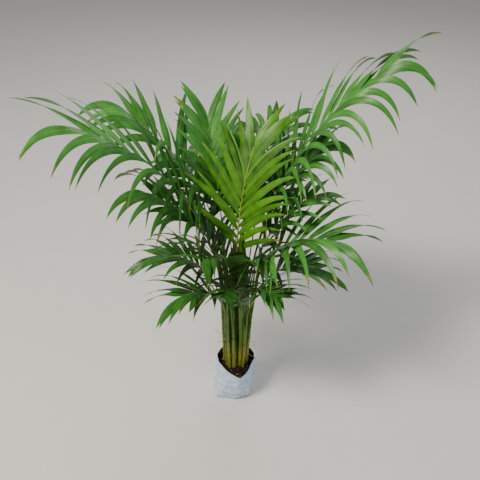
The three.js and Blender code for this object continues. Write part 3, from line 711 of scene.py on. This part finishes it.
class PALM_OT_mix(bpy.types.Operator):
    """Makes the potting mix, with bark chips and crumbs lying on it"""

    bl_idname = "palm.mix"
    bl_label = "Potting mix"

    def execute(self, context):
        settings = context.scene.palm.mix
        lumps = settings.lumps / MM
        bearings = [360 * i / MIX_AROUND for i in range(MIX_AROUND)]
        sides = [[wall_spot(b, level, 5.0)[0] for b in bearings] for level in (0.02, 0.2, 0.4, 0.6)]
        rings = [np.array(side) for side in sides]
        for side in rings:
            side[:, 2] = np.maximum(side[:, 2], 2.5)
        for out in np.linspace(1, 0.02, 46):
            ring = np.array([mix_spot(b, out) for b in bearings])
            ring[:, 2] += [lumpy(spot, lumps) for spot in ring]
            rings.append(ring)
        shape = Shape()
        shape.tube(np.array(rings))
        shape.piece("potting_mix_bed", [potting_soil(settings)], 60, ["potting_mix"])

        rng = random.Random(11)
        loose = Shape("tint")
        for i in range(settings.chips + settings.crumbs):
            is_chip = i < settings.chips
            bearing = rng.uniform(0, 360)
            if is_chip and rng.random() < 0.5:
                bearing = rng.gauss(-75, 38)
            out = math.sqrt(rng.uniform(0.02, 0.93))
            spot = mix_spot(bearing, out, 6)
            spot[2] += lumpy(spot, lumps)
            length = rng.uniform(4.5, 12) if is_chip else rng.uniform(1.6, 4)
            sizes = np.array([length, length * rng.uniform(0.3, 0.6), length * rng.uniform(0.15, 0.35)])
            turn = heading(rng.uniform(0, 360))
            tilt = rng.uniform(-0.4, 0.4)
            long_way = unit(turn + UP * tilt)
            wide_way = unit(np.cross(UP, long_way))
            thick_way = np.cross(long_way, wide_way)
            corners = []
            for _ in range(14 if is_chip else 9):
                way = unit(np.array([rng.gauss(0, 1) for _ in range(3)])) * 0.5 * sizes
                corners.append(spot + long_way * way[0] + wide_way * way[1] + thick_way * way[2]
                               + UP * 0.3 * sizes[2])
            loose.lump(corners, tint=rng.uniform(0.35, 1) if is_chip else rng.uniform(0, 0.45) ** 1.3)
        loose.piece("bark_chips", [bark(settings)], 25)
        return {"FINISHED"}


# ---- Canes ---------------------------------------------------------------------------------------

CANE_AROUND = 40
CANE_SUNK = 26  # how far a cane's skin goes down into the mix
CANE_ROW = 1.6  # between one ring of its skin and the next
SCARS = 3
SHEATH_TOP = 48  # from the cane's top down to its first sheath mouth
SHEATH_STEP = 62  # from one sheath mouth to the next
SHOOT_HEIGHTS = (300, 640)
SHREDS = 15


def cane_centre(cane, height):
    rise = height - MIX_TOP
    out = heading(cane["bearing"]) * math.tan(math.radians(cane["lean"])) * rise
    return np.array([cane["x"] + out[0], cane["y"] + out[1], height])


def cane_radius(cane, height):
    swell = CANE_SWELL * math.exp(-max(0, height - MIX_TOP) / CANE_SWELL_HEIGHT)
    taper = CANE_TAPER * max(0, height - MIX_TOP) / (cane["top"] - MIX_TOP)
    return cane["radius"] * (1 + swell - taper)


def ringed(centres, radii):
    """Level rings about a line of centres. radii is an array of rings by spots."""
    around = radii.shape[1]
    angles = np.arange(around) * math.tau / around
    ways = np.stack([np.cos(angles), np.sin(angles), 0 * angles], axis=-1)
    return centres[:, None, :] + ways[None, :, :] * radii[:, :, None]


def make_cane(number, cane, settings, skin):
    """One cane: ringed by leaf scars at its foot, wrapped higher up in ribbed sheaths."""
    angles = np.arange(CANE_AROUND) * math.tau / CANE_AROUND
    heights = np.arange(MIX_TOP - CANE_SUNK, cane["top"] + 0.1, CANE_ROW)
    heights[-1] = cane["top"]
    centres = np.array([cane_centre(cane, h) for h in heights])
    base = np.array([cane_radius(cane, h) for h in heights])
    radii = np.repeat(base[:, None], CANE_AROUND, axis=1)
    ribs = 15 + number % 4
    strength = eased((heights - MIX_TOP - 25) / 60)[:, None]
    radii += settings.rib / MM * np.sin(ribs * angles + 0.7 * number)[None, :] * strength
    dry = np.zeros_like(radii)
    # Scars left by shed leaves ring the lower cane.
    first = MIX_TOP + 9 + 6 * scatter(number)
    for i in range(SCARS):
        scar = first + settings.ring / MM * i * (0.7 + 0.12 * i)
        near = np.exp(-((heights - scar) / 1.6) ** 2)[:, None]
        radii += 0.4 * near
        dry = np.maximum(dry, 0.22 * near)
    # Each sheath's mouth wraps the next one in: a slanting step with a papery edge.
    for step in range(2):
        turn = math.radians(140 * step + 75 * number)
        mouth = cane["top"] - SHEATH_TOP - SHEATH_STEP * step + 8 * scatter(number + 20 * step)
        edge = mouth + 9 * np.cos(angles - turn)
        below = edge[None, :] - heights[:, None]
        radii += 0.75 * np.where(below > 0, np.exp(-below / 34), 0)
        dry = np.maximum(dry, 0.8 * np.exp(-(np.maximum(below, 0) / 2.2) ** 2) * (below > -1.6))
    # The top closes round the petioles that leave it.
    closing = eased((heights - cane["top"] + 7) / 7)[:, None]
    radii *= 1 - 0.5 * closing
    dry = np.maximum(dry, 0.35 * closing)
    rise = np.clip((heights - MIX_TOP) / 130, 0, 1)[:, None]
    shape = Shape("rise", "dry", "tint")
    shape.tube(ringed(centres, radii), rise=rise, dry=dry, tint=0.3 * scatter(number + 40))
    shape.piece(f"cane_sheath_{number}", [skin], 40, [f"cane_{number}"])


def make_shoots(count, skin):
    """Young shoots and folded blades that stand in the gaps between the canes."""
    rng = random.Random(23)
    shoots = Shape("rise", "dry", "tint")
    angles = np.arange(10) * math.tau / 10
    for _ in range(count):
        x, y = rng.uniform(-16, 40), rng.uniform(-18, 26)
        shoot = {"x": x, "y": y, "lean": rng.uniform(0, 7), "bearing": rng.uniform(0, 360)}
        heights = np.linspace(MIX_TOP - 12, rng.uniform(*SHOOT_HEIGHTS), 30)
        centres = np.array([cane_centre(shoot, h) for h in heights])
        share = np.linspace(0, 1, len(heights))
        swell = 0.6 + 1.1 * np.sin(2.6 * share ** 1.4)
        pointed = np.minimum(1, 4 * (1 - share) + 0.08)
        thick = rng.uniform(2.2, 4.2) * swell * pointed
        flat = 1 + 0.6 * np.cos(2 * (angles + rng.uniform(0, 3)))
        rise = np.clip((heights - MIX_TOP) / rng.uniform(60, 150), 0, 1)[:, None]
        shoots.tube(ringed(centres, thick[:, None] * flat[None, :]), rise=rise,
                    tint=rng.uniform(0, 0.5), dry=rng.choice([0, 0, 0, 0, 0.4]))
    shoots.piece("young_shoots", [skin], 60)


def make_shreds(skin):
    """Shreds of dead sheath: thin curling strips that hang where the lower leaves were shed."""
    rng = random.Random(5)
    shreds = Shape("tint")
    section = np.array([[1, 0], [0.4, 0.35], [-0.4, 0.35], [-1, 0], [-0.4, -0.35], [0.4, -0.35]])
    for i in range(SHREDS):
        cane = CANES[rng.choice([0, 0, 5, 1, 2, 3])]
        height = rng.uniform(MIX_TOP + 30, MIX_TOP + 105)
        way = heading(cane["bearing"] + rng.uniform(-60, 60))
        spot = cane_centre(cane, height) + way * cane_radius(cane, height)
        length, lift = rng.uniform(26, 62), rng.uniform(-0.4, 1.1)
        curl = rng.uniform(1.2, 2.6)
        side = np.cross(way, UP)
        path = [spot - way * 1.5]
        for j in range(14):
            angle = lift - curl * (j / 13) ** 1.3
            step = way * math.cos(angle) + UP * math.sin(angle) + side * 0.3 * math.sin(j * 0.5 + i)
            path.append(path[-1] + unit(step) * length / 14)
        path = np.array(path)
        widths = rng.uniform(0.6, 1.6) * (1 - 0.75 * np.linspace(0, 1, len(path)))
        rings = (path[:, None, :] + side * (section[:, :1] * widths[:, None, None])
                 + unit(way + UP) * (section[:, 1:] * np.minimum(0.5, widths)[:, None, None]))
        shreds.tube(rings, tint=rng.uniform(0.5, 0.95))
    shreds.piece("dry_sheath_shreds", [skin], 30)


class PALM_OT_canes(bpy.types.Operator):
    """Makes the canes, the young shoots between them and the dry shreds of sheath at their feet"""

    bl_idname = "palm.canes"
    bl_label = "Canes"

    def execute(self, context):
        settings = context.scene.palm.cane
        skin = cane_sheath(settings)
        for number, cane in enumerate(CANES, 1):
            make_cane(number, cane, settings, skin)
        make_shoots(settings.shoots, skin)
        make_shreds(bark(context.scene.palm.mix))
        return {"FINISHED"}


# ---- Fronds --------------------------------------------------------------------------------------

TIP_MATCH = 0.05  # a leaflet's tip and the frame's vertex are the same when they are this close
STALK_AROUND, STALK_ROWS = 14, 60
STALK_SUNK = 64  # how far a petiole's foot goes down into its cane


def rachis_frame(frond, t):
    """The rachis's forward, right and upward ways at t, 0 at its foot and 1 at its tip."""
    lift = math.radians(lerp(frond["lift"], frond["tip"], t ** frond["bow"]))
    flat = heading(frond["bearing"])
    forward = flat * math.cos(lift) + UP * math.sin(lift)
    side = np.cross(flat, UP)
    return forward, side, np.cross(side, forward)


def rachis_spots(frond):
    cane = CANES[frond["cane"]]
    start = cane_centre(cane, cane["top"] + FROND_LIFT)
    if frond["seat"] is not None:
        start = start + heading(frond["seat"]) * SEAT_RADIUS
    spots = [start]
    for i in range(STEPS):
        spots.append(spots[i] + rachis_frame(frond, (i + 0.5) / STEPS)[0] * frond["length"] / STEPS)
    return np.array(spots)


def rachis_at(spots, t):
    i = min(STEPS - 1, int(t * STEPS))
    return lerp(spots[i], spots[i + 1], t * STEPS - i)


def leaflet_of(frond, spots, k, nudge):
    """Leaflet k of the frond, counted from the foot of the blade, right and left in turn."""
    hand = 1 if k % 2 == 0 else -1
    along = (k + 0.5) / (2 * frond["pairs"])
    t = lerp(frond["bare"], 1, along)
    forward, side, normal = rachis_frame(frond, t)
    seed = frond["seed"] * 100 + k * 4
    spread = math.radians(
        lerp(frond["open"], frond["close"], along) + SPREAD_SCATTER * scatter(seed) + nudge[0])
    vee = math.radians(frond["vee"] + VEE_SCATTER * scatter(seed + 1) + nudge[1])
    start = forward * math.cos(spread) + side * math.sin(spread) * math.cos(vee) * hand
    start = start + normal * math.sin(spread) * math.sin(vee)
    swell = lerp(SHORTEST_LEAF, 1, math.sin(math.pi * lerp(0.15, 0.9, along)))
    return dict(
        k=k, hand=hand, along=along, forward=forward, start=start, foot=rachis_at(spots, t), seed=seed,
        length=frond["leaf"] * swell * (1 + LENGTH_SCATTER * scatter(seed + 2)) * nudge[2],
        droop=frond["droop"][0 if hand > 0 else 1] * (1 + DROOP_SCATTER * scatter(seed + 3)),
        width=frond["width"] * lerp(0.8, 1.15, along))


def leaflet_line(leaflet, steps):
    """The leaflet's middle line and its direction at each spot of it."""
    middles = (np.arange(steps) + 0.5)[:, None] / steps
    ends = np.arange(steps + 1)[:, None] / steps

    def direction(s):
        return unit(leaflet["start"] - UP * leaflet["droop"] * s ** LEAF_BOW)

    strides = direction(middles) * leaflet["length"] / steps
    spots = leaflet["foot"] + np.vstack([np.zeros(3), np.cumsum(strides, axis=0)])
    return spots, direction(ends), ends[:, 0]


def frame_leaflets(frond, spots):
    """The leaflets that the frame has, each with the nudge that puts its tip on one of its vertices."""
    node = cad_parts[f"frond_{frond['name']}"]
    tree = KDTree(len(node.data.vertices))
    for i, vertex in enumerate(node.data.vertices):
        tree.insert(vertex.co / MM, i)
    tree.balance()
    found = []
    for k in range(2 * frond["pairs"]):
        for nudge in NUDGES:
            leaflet = leaflet_of(frond, spots, k, nudge)
            tip = leaflet_line(leaflet, LEAF_STEPS)[0][-1]
            if tree.find(tip)[2] < TIP_MATCH:
                found.append(leaflet)
                break
    if not found:
        raise RuntimeError(f"no leaflet of {frond['name']} matches the frame")
    return found


# Across a leaflet from edge to edge: the midrib stands highest, with a lesser rib to each side.
ACROSS = np.array([-1, -0.86, -0.66, -0.42, -0.16, 0, 0.16, 0.42, 0.66, 0.86, 1])
RELIEF = -np.array([1.0, 0.72, 0.42, 0.52, 0.2, 0, 0.2, 0.52, 0.42, 0.72, 1.0])
BLADE_ROWS = 26
CLUMP_SHADE_REACH = 210  # how far out from the middle the painted shade of the clump reaches
TWIST = math.radians(16)
SWAY = 2.6
EDGE_WAVE = 0.9


def add_leaflet(shape, leaflet, painted_light_and_shade, settings):
    """One closed blade: narrow and folded at its foot, widest near the middle, drawn out at the tip."""
    spots, forward, s = leaflet_line(leaflet, BLADE_ROWS)
    hand, seed = leaflet["hand"], leaflet["seed"]
    rachis = leaflet["forward"]
    dots = forward @ rachis
    across = -hand * unit(rachis[None, :] - forward * dots[:, None])
    normal = np.cross(across, forward)
    # A slight twist, growing towards the tip, and a slow side-to-side sway.
    twist = TWIST * scatter(seed + 7) * s ** 1.5
    cosine, sine = np.cos(twist)[:, None], np.sin(twist)[:, None]
    across, normal = across * cosine + normal * sine, normal * cosine - across * sine
    sway = SWAY * scatter(seed + 8) * np.sin(math.pi * s) * np.sin(4.5 * s + 3 * scatter(seed + 9))
    spots = spots + across * sway[:, None]

    foot = 0.3 + 0.7 * np.sin(math.pi / 2 * np.minimum(1, s / 0.3))
    half = 0.5 * leaflet["width"] * foot * np.maximum(0.03, 1 - s ** 2.8) * 1.04
    slope = math.tan(settings.fold) * (0.25 + 0.75 * np.exp(-s / 0.16) + 0.3 * s ** 2)
    edge_wave = EDGE_WAVE * np.sin(math.tau * (2.6 * s + scatter(seed + 5))) * np.sin(math.pi * s)
    gauge = 0.5 * settings.thickness / MM * (1 - 0.6 * s)

    def surface(columns, relief, lift):
        away = np.abs(columns)
        rise = slope[:, None] * half[:, None] * relief[None, :] * 0.55
        rise = rise + edge_wave[:, None] * (away ** 2 * np.sign(columns))[None, :]
        rise = rise + lift * gauge[:, None] * (1 - away ** 6)[None, :]
        out = columns[None, :] * half[:, None]
        return (spots[:, None, :] + across[:, None, :] * out[..., None]
                + normal[:, None, :] * rise[..., None])

    top = surface(ACROSS, RELIEF, 1.0)
    bottom = surface(ACROSS[1:-1], RELIEF[1:-1], -1.0)[:, ::-1]
    columns = np.concatenate([ACROSS, ACROSS[1:-1][::-1]])
    face = np.concatenate([np.ones(len(ACROSS)), np.zeros(len(ACROSS) - 2)])
    # Most tips are dry for a few millimetres, and some leaflets for a fifth of their length.
    drought = max(0.0, scatter(seed + 6) - 0.55) / 0.45
    dry = 1.04 - 0.03 * abs(scatter(seed + 4)) - 0.12 * drought
    # Painted shade: blades near the middle of the clump are darker, where the clump shades them, and each
    # frond adds its own painted light and shade.
    inside = np.exp(-(spots[:, 0] ** 2 + spots[:, 1] ** 2) / CLUMP_SHADE_REACH ** 2)[:, None]
    shape.tube(
        np.concatenate([top, bottom], axis=1), across=0.5 * columns[None, :],
        along=s[:, None], face=face[None, :], dry=dry,
        tint=0.22 * scatter(seed + 10) + 0.25 * painted_light_and_shade - 0.42 * inside)


def add_stalk(shape, frond, spots):
    """The petiole and rachis: keeled below, channelled above, its foot sunk into the cane's sheath."""
    cane = CANES[frond["cane"]]
    angles = np.arange(STALK_AROUND) * math.tau / STALK_AROUND
    cosines, sines = np.cos(angles)[:, None], np.sin(angles)[:, None]
    # Below the cane's mouth the foot of the petiole widens into the sheath and lies along the cane.
    depths = np.linspace(STALK_SUNK, 4, 9)
    mouth = cane["top"] + FROND_LIFT
    offset = 0.8 * (spots[0] - cane_centre(cane, mouth))
    _, side, _ = rachis_frame(frond, 0)
    out = np.cross(UP, side)
    rings = []
    for depth in depths:
        radius = lerp(RACHIS_FOOT_RADIUS * 1.05, 0.55 * cane["radius"], eased(depth / STALK_SUNK))
        rings.append(cane_centre(cane, mouth - depth) + offset + radius * (cosines * side - sines * out))
    ts = np.linspace(0, 1, STALK_ROWS)
    for t in ts:
        _, side, normal = rachis_frame(frond, t)
        radius = 0.92 * lerp(RACHIS_FOOT_RADIUS, RACHIS_TIP_RADIUS, t)
        channel = 0.34 * max(0.0, 1 - t / frond["bare"]) ** 0.6
        radii = radius * (1 - channel * np.maximum(0, sines) ** 3 + 0.12 * np.maximum(0, -sines) ** 2)
        rings.append(rachis_at(spots, t) + radii * cosines * side + radii * sines * normal)
    along = np.concatenate([np.zeros(len(depths)), ts])
    shape.tube(np.array(rings), paint=1, along=along[:, None])


class PALM_OT_fronds(bpy.types.Operator):
    """Makes the fronds, each a rachis with its folded leaflets where the frame has them"""

    bl_idname = "palm.fronds"
    bl_label = "Fronds"

    def execute(self, context):
        settings = context.scene.palm.leaf
        dry = tuple(settings.dry)
        mature = leaf_blade("Palm leaflet, grown and waxy", tuple(settings.mature),
                            tuple(settings.under), dry, 0.22)
        young = leaf_blade("Palm leaflet, newly opened", tuple(settings.young),
                           from_hex("#6DA81F"), dry, 0.3)
        stalk = stalk_skin("Palm petiole, grown", tuple(settings.stalk), from_hex("#5B7A33"))
        young_stalk = stalk_skin("Palm petiole, young and bronzed", from_hex("#8A6A2C"),
                                 from_hex("#9DB53A"))
        skins = {"mature": [mature, stalk], "young": [young, young_stalk]}
        for seed, row in enumerate(FRONDS, 1):
            frond = {**COMMON, **row, "seed": seed}
            spots = rachis_spots(frond)
            shape = Shape("across", "along", "face", "dry", "tint")
            add_stalk(shape, frond, spots)
            for leaflet in frame_leaflets(frond, spots):
                add_leaflet(shape, leaflet, frond["painted_light_and_shade"], settings)
            shape.piece(f"frond_blades_{frond['name']}", skins[frond["tone"]], 24,
                        [f"frond_{frond['name']}"])
        return {"FINISHED"}


# ---- Stage ---------------------------------------------------------------------------------------

class PALM_OT_stage(bpy.types.Operator):
    """Makes the floor, the soft lights and the camera"""

    bl_idname = "palm.stage"
    bl_label = "Stage"

    def execute(self, context):
        settings = context.scene.palm.stage
        scene = context.scene
        mesh = bpy.data.meshes.new("floor")
        reach = 14.0  # metres from the middle to each edge
        mesh.from_pydata([(-reach, -reach, 0), (reach, -reach, 0), (reach, reach, 0), (-reach, reach, 0)],
                         [], [(0, 1, 2, 3)])
        mesh.materials.append(painted_floor(settings))
        floor = bpy.data.objects.new("floor", mesh)
        floor.location.z = -0.5 * MM
        scene.collection.objects.link(floor)

        # Key from the upper left, fill from the right, and a wide light from behind.
        lamps = [
            ("key", (-1.7, -1.3, 3.4), 0.9, 150, "#FFF6E8"),
            ("fill", (2.6, -1.8, 2.0), 2.4, 16, "#EAF1FF"),
            ("back", (0.6, 2.6, 2.8), 2.2, 40, "#FFFFFF"),
        ]
        aim = Vector((0, 0, 0.6))
        for name, place, size, power, colour in lamps:
            lamp = bpy.data.lights.new(name, "AREA")
            lamp.energy, lamp.size, lamp.color = power, size, from_hex(colour)
            holder = bpy.data.objects.new(name, lamp)
            holder.location = place
            holder.rotation_euler = (aim - Vector(place)).to_track_quat("-Z", "Y").to_euler()
            scene.collection.objects.link(holder)

        world = bpy.data.worlds.new("studio")
        scene.world = world
        world.use_nodes = True
        sky = world.node_tree.nodes["Background"]
        sky.inputs["Color"].default_value = (*from_hex("#EEF2F6"), 1)
        sky.inputs["Strength"].default_value = 0.32

        lens = bpy.data.cameras.new("camera")
        lens.lens = settings.lens
        lens.sensor_width = 36
        camera = bpy.data.objects.new("camera", lens)
        camera.location = (0.022, -1.696, 1.742)
        camera.rotation_euler = (math.radians(56), 0, 0)
        scene.collection.objects.link(camera)
        scene.camera = camera
        return {"FINISHED"}


class PALM_PT_panel(bpy.types.Panel):
    """Lists the pieces and their settings"""

    bl_idname = "PALM_PT_panel"
    bl_label = "Areca palm"
    bl_space_type = "VIEW_3D"
    bl_region_type = "UI"
    bl_category = "Palm"

    def draw(self, context):
        for part, operator in PARTS:
            box = self.layout.box()
            box.operator(operator.bl_idname)
            group = getattr(context.scene.palm, part)
            for key in group.__annotations__:
                box.prop(group, key)


PARTS = [
    ("bag", PALM_OT_bag), ("mix", PALM_OT_mix), ("cane", PALM_OT_canes), ("leaf", PALM_OT_fronds),
    ("stage", PALM_OT_stage),
]
CLASSES = [
    PALM_bag_settings, PALM_mix_settings, PALM_cane_settings, PALM_leaf_settings,
    PALM_stage_settings, PALM_settings, *(operator for _, operator in PARTS), PALM_PT_panel,
]


def register():
    for made in CLASSES:
        bpy.utils.register_class(made)
    bpy.types.Scene.palm = PointerProperty(type=PALM_settings)


def unregister():
    del bpy.types.Scene.palm
    for made in reversed(CLASSES):
        bpy.utils.unregister_class(made)


def main():
    register()
    bpy.ops.palm.bag()
    bpy.ops.palm.mix()
    bpy.ops.palm.canes()
    bpy.ops.palm.fronds()
    bpy.ops.palm.stage()


if __name__ == "__main__":
    main()
